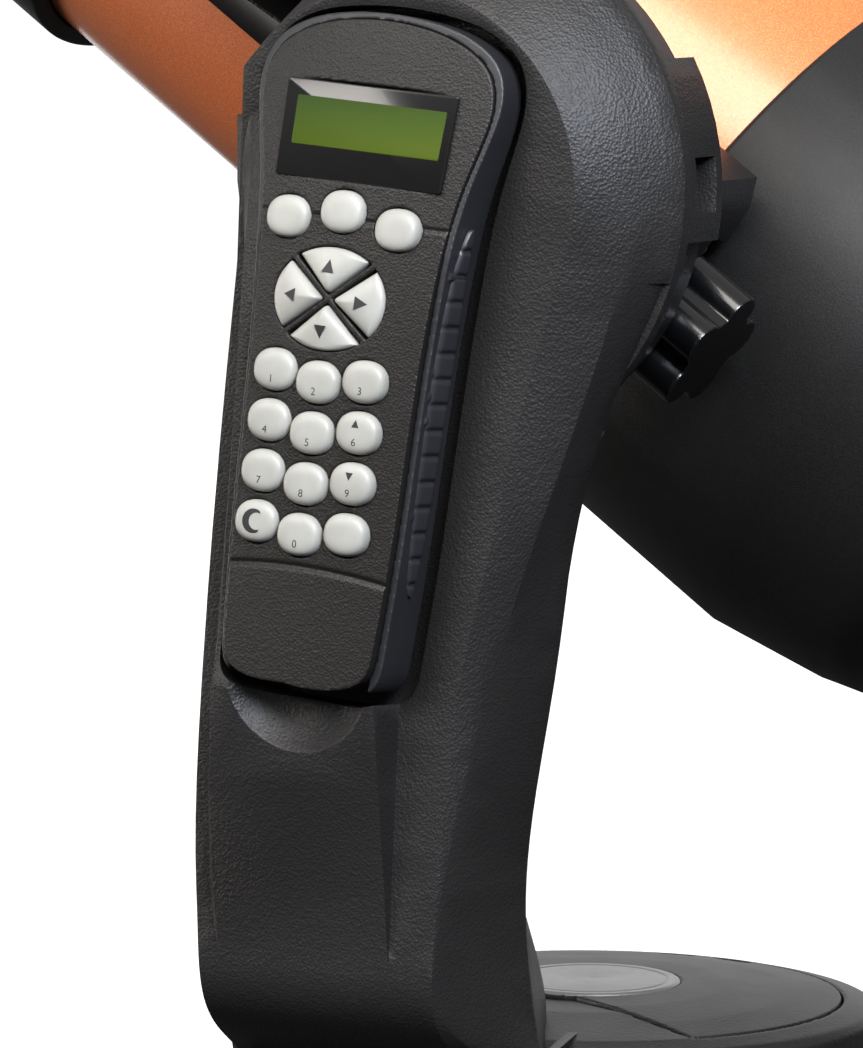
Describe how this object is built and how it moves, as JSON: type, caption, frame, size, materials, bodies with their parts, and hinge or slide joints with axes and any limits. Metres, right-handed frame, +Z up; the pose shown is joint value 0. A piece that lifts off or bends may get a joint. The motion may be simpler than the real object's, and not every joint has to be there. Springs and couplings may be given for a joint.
{
  "type": "schmidt cassegrain telescope",
  "caption": "Short closed-tube catadioptric telescope on a motorised single-arm altazimuth mount, with a keypad hand control docked in the arm.",
  "frame": {"origin": "on the azimuth axis at the underside of the feet, by the mouth of the tripod pivot bore", "axes": "+Z up along the azimuth axis; +Y along the altitude axis from the arm to the tube; the tube points towards -X, raised 36.6 degrees"},
  "size_m": [0.4522, 0.3273, 0.5023],
  "materials": {
    "black_plastic": "fine grained matte",
    "rubber": "matte",
    "steel": "zinc plated",
    "nylon": "satin",
    "spun_aluminium": "spun",
    "battery": "gloss",
    "cast_alloy": "as cast",
    "brass": "machined",
    "board": "solder mask",
    "gloss_black": "gloss",
    "black_anodised": "anodised satin",
    "orange_paint": "metallic gloss",
    "cell_paint": "fine texture satin",
    "optical_glass": "coated",
    "mirror": "polished",
    "grip_rubber": "satin",
    "display_window": "gloss",
    "key_plastic": "satin translucent"
  },
  "bodies": {
    "base": {"base_housing": "black_plastic", "rubber_feet": "rubber", "azimuth_spindle": "steel", "azimuth_gear": "nylon"},
    "fork": {"turntable_housing": "black_plastic", "batteries": "battery", "arm_outer_shell": "black_plastic", "arm_inner_shell": "black_plastic", "arm_frame": "cast_alloy", "azimuth_motor": "steel", "altitude_motor": "steel", "circuit_board": "board"},
    "cover": {"battery_cover": "black_plastic", "cover_emblem": "spun_aluminium"},
    "switch": {"power_switch": "gloss_black"},
    "azimuth_pinion": {"azimuth_pinion": "brass"},
    "altitude_pinion": {"altitude_pinion": "brass"},
    "optical_tube": {"altitude_hub": "black_plastic", "altitude_gear": "nylon", "tube": "orange_paint", "front_cell": "cell_paint", "corrector_plate": "optical_glass", "secondary_housing": "cell_paint", "secondary_mirror": "mirror", "rear_cell": "cell_paint", "cell_screws": "steel", "baffle_tube": "black_anodised", "visual_back": "black_anodised", "dovetail_bar": "black_anodised", "red_dot_finder": "black_plastic"},
    "clamp_jaw": {"clamp_jaw": "cast_alloy"},
    "clamp_knob": {"clamp_knob": "gloss_black"},
    "primary_mirror": {"primary_mirror": "mirror"},
    "focus_knob": {"focus_knob": "grip_rubber"},
    "star_diagonal": {"star_diagonal": "gloss_black"},
    "eyepiece": {"eyepiece": "black_anodised"},
    "hand_control": {"hc_front_shell": "black_plastic", "hc_back_shell": "black_plastic", "hc_grips": "grip_rubber", "lcd_window": "display_window", "hc_board": "board"},
    "key_0": {"key_0": "key_plastic"},
    "key_1": {"key_1": "key_plastic"},
    "key_2": {"key_2": "key_plastic"},
    "key_3": {"key_3": "key_plastic"},
    "key_4": {"key_4": "key_plastic"},
    "key_5": {"key_5": "key_plastic"},
    "key_6": {"key_6": "key_plastic"},
    "key_7": {"key_7": "key_plastic"},
    "key_8": {"key_8": "key_plastic"},
    "key_9": {"key_9": "key_plastic"},
    "key_info": {"key_info": "key_plastic"},
    "key_speed": {"key_speed": "key_plastic"},
    "key_align": {"key_align": "key_plastic"},
    "key_enter": {"key_enter": "key_plastic"},
    "key_back": {"key_back": "key_plastic"},
    "key_up": {"key_up": "key_plastic"},
    "key_down": {"key_down": "key_plastic"},
    "key_left": {"key_left": "key_plastic"},
    "key_right": {"key_right": "key_plastic"}
  },
  "joints": [
    {"name": "azimuth", "type": "hinge", "parent": "base", "child": "fork", "pos_m": [0, 0, 0.038], "axis": [0, 0, 1], "continuous": true},
    {"name": "azimuth_pinion_spin", "type": "hinge", "parent": "fork", "child": "azimuth_pinion", "pos_m": [-0.016, -0.06815, 0.03], "axis": [0, 0, 1], "continuous": true},
    {"name": "altitude", "type": "hinge", "parent": "fork", "child": "optical_tube", "pos_m": [0, -0.1, 0.299], "axis": [0, 1, 0], "range_deg": [-56.6, 53.4]},
    {"name": "altitude_pinion_spin", "type": "hinge", "parent": "fork", "child": "altitude_pinion", "pos_m": [0.0206, -0.093, 0.248], "axis": [0, 1, 0], "range_deg": [-245, 260]},
    {"name": "cover_lift", "type": "slide", "parent": "fork", "child": "cover", "axis": [0, 0, 1], "range_m": [0, 0.006]},
    {"name": "switch_rock", "type": "hinge", "parent": "fork", "child": "switch", "pos_m": [-0.07424, -0.02702, 0.046], "axis": [-0.342, 0.9397, 0], "range_deg": [0, 8]},
    {"name": "clamp_turn", "type": "hinge", "parent": "optical_tube", "child": "clamp_knob", "pos_m": [0.05739, -0.0642, 0.25887], "axis": [0.8028, 0, -0.5962], "range_deg": [0, 720.5]},
    {"name": "jaw_slide", "type": "slide", "parent": "optical_tube", "child": "clamp_jaw", "axis": [-0.5962, 0, -0.8028], "range_m": [0, 0.003]},
    {"name": "focus_turn", "type": "hinge", "parent": "optical_tube", "child": "focus_knob", "pos_m": [0.11458, 0.107, 0.17654], "axis": [0.8028, 0, -0.5962], "range_deg": [-2882, 2882]},
    {"name": "mirror_slide", "type": "slide", "parent": "optical_tube", "child": "primary_mirror", "axis": [0.8028, 0, -0.5962], "range_m": [-0.006, 0.006]},
    {"name": "diagonal_turn", "type": "hinge", "parent": "optical_tube", "child": "star_diagonal", "pos_m": [0.14049, 0.067, 0.19466], "axis": [0.8028, 0, -0.5962], "range_deg": [-90, 90]},
    {"name": "eyepiece_pull", "type": "slide", "parent": "star_diagonal", "child": "eyepiece", "axis": [0.5962, 0, 0.8028], "range_m": [0, 0.025]},
    {"name": "hand_control_lift", "type": "slide", "parent": "fork", "child": "hand_control", "axis": [0, -0.9962, 0.0872], "range_m": [0, 0.05]},
    {"name": "key_0_press", "type": "slide", "parent": "hand_control", "child": "key_0", "axis": [0, 0.9962, -0.0872], "range_m": [0, 0.0012], "stiffness_N_per_m": 500, "springref_m": -0.0004},
    {"name": "key_1_press", "type": "slide", "parent": "hand_control", "child": "key_1", "axis": [0, 0.9962, -0.0872], "range_m": [0, 0.0012], "stiffness_N_per_m": 500, "springref_m": -0.0004},
    {"name": "key_2_press", "type": "slide", "parent": "hand_control", "child": "key_2", "axis": [0, 0.9962, -0.0872], "range_m": [0, 0.0012], "stiffness_N_per_m": 500, "springref_m": -0.0004},
    {"name": "key_3_press", "type": "slide", "parent": "hand_control", "child": "key_3", "axis": [0, 0.9962, -0.0872], "range_m": [0, 0.0012], "stiffness_N_per_m": 500, "springref_m": -0.0004},
    {"name": "key_4_press", "type": "slide", "parent": "hand_control", "child": "key_4", "axis": [0, 0.9962, -0.0872], "range_m": [0, 0.0012], "stiffness_N_per_m": 500, "springref_m": -0.0004},
    {"name": "key_5_press", "type": "slide", "parent": "hand_control", "child": "key_5", "axis": [0, 0.9962, -0.0872], "range_m": [0, 0.0012], "stiffness_N_per_m": 500, "springref_m": -0.0004},
    {"name": "key_6_press", "type": "slide", "parent": "hand_control", "child": "key_6", "axis": [0, 0.9962, -0.0872], "range_m": [0, 0.0012], "stiffness_N_per_m": 500, "springref_m": -0.0004},
    {"name": "key_7_press", "type": "slide", "parent": "hand_control", "child": "key_7", "axis": [0, 0.9962, -0.0872], "range_m": [0, 0.0012], "stiffness_N_per_m": 500, "springref_m": -0.0004},
    {"name": "key_8_press", "type": "slide", "parent": "hand_control", "child": "key_8", "axis": [0, 0.9962, -0.0872], "range_m": [0, 0.0012], "stiffness_N_per_m": 500, "springref_m": -0.0004},
    {"name": "key_9_press", "type": "slide", "parent": "hand_control", "child": "key_9", "axis": [0, 0.9962, -0.0872], "range_m": [0, 0.0012], "stiffness_N_per_m": 500, "springref_m": -0.0004},
    {"name": "key_info_press", "type": "slide", "parent": "hand_control", "child": "key_info", "axis": [0, 0.9962, -0.0872], "range_m": [0, 0.0012], "stiffness_N_per_m": 500, "springref_m": -0.0004},
    {"name": "key_speed_press", "type": "slide", "parent": "hand_control", "child": "key_speed", "axis": [0, 0.9962, -0.0872], "range_m": [0, 0.0012], "stiffness_N_per_m": 500, "springref_m": -0.0004},
    {"name": "key_align_press", "type": "slide", "parent": "hand_control", "child": "key_align", "axis": [0, 0.9962, -0.0872], "range_m": [0, 0.0012], "stiffness_N_per_m": 500, "springref_m": -0.0004},
    {"name": "key_enter_press", "type": "slide", "parent": "hand_control", "child": "key_enter", "axis": [0, 0.9962, -0.0872], "range_m": [0, 0.0012], "stiffness_N_per_m": 500, "springref_m": -0.0004},
    {"name": "key_back_press", "type": "slide", "parent": "hand_control", "child": "key_back", "axis": [0, 0.9962, -0.0872], "range_m": [0, 0.0012], "stiffness_N_per_m": 500, "springref_m": -0.0004},
    {"name": "key_up_press", "type": "slide", "parent": "hand_control", "child": "key_up", "axis": [0, 0.9962, -0.0872], "range_m": [0, 0.0012], "stiffness_N_per_m": 500, "springref_m": -0.0004},
    {"name": "key_down_press", "type": "slide", "parent": "hand_control", "child": "key_down", "axis": [0, 0.9962, -0.0872], "range_m": [0, 0.0012], "stiffness_N_per_m": 500, "springref_m": -0.0004},
    {"name": "key_left_press", "type": "slide", "parent": "hand_control", "child": "key_left", "axis": [0, 0.9962, -0.0872], "range_m": [0, 0.0012], "stiffness_N_per_m": 500, "springref_m": -0.0004},
    {"name": "key_right_press", "type": "slide", "parent": "hand_control", "child": "key_right", "axis": [0, 0.9962, -0.0872], "range_m": [0, 0.0012], "stiffness_N_per_m": 500, "springref_m": -0.0004}
  ],
  "couplings": [
    {"joint": "azimuth_pinion_spin", "follows": "azimuth", "ratio": 6},
    {"joint": "altitude_pinion_spin", "follows": "altitude", "ratio": -4.5},
    {"joint": "clamp_turn", "follows": "jaw_slide", "rad_per_m": 4188.8},
    {"joint": "focus_turn", "follows": "mirror_slide", "rad_per_m": 8377.6}
  ]
}
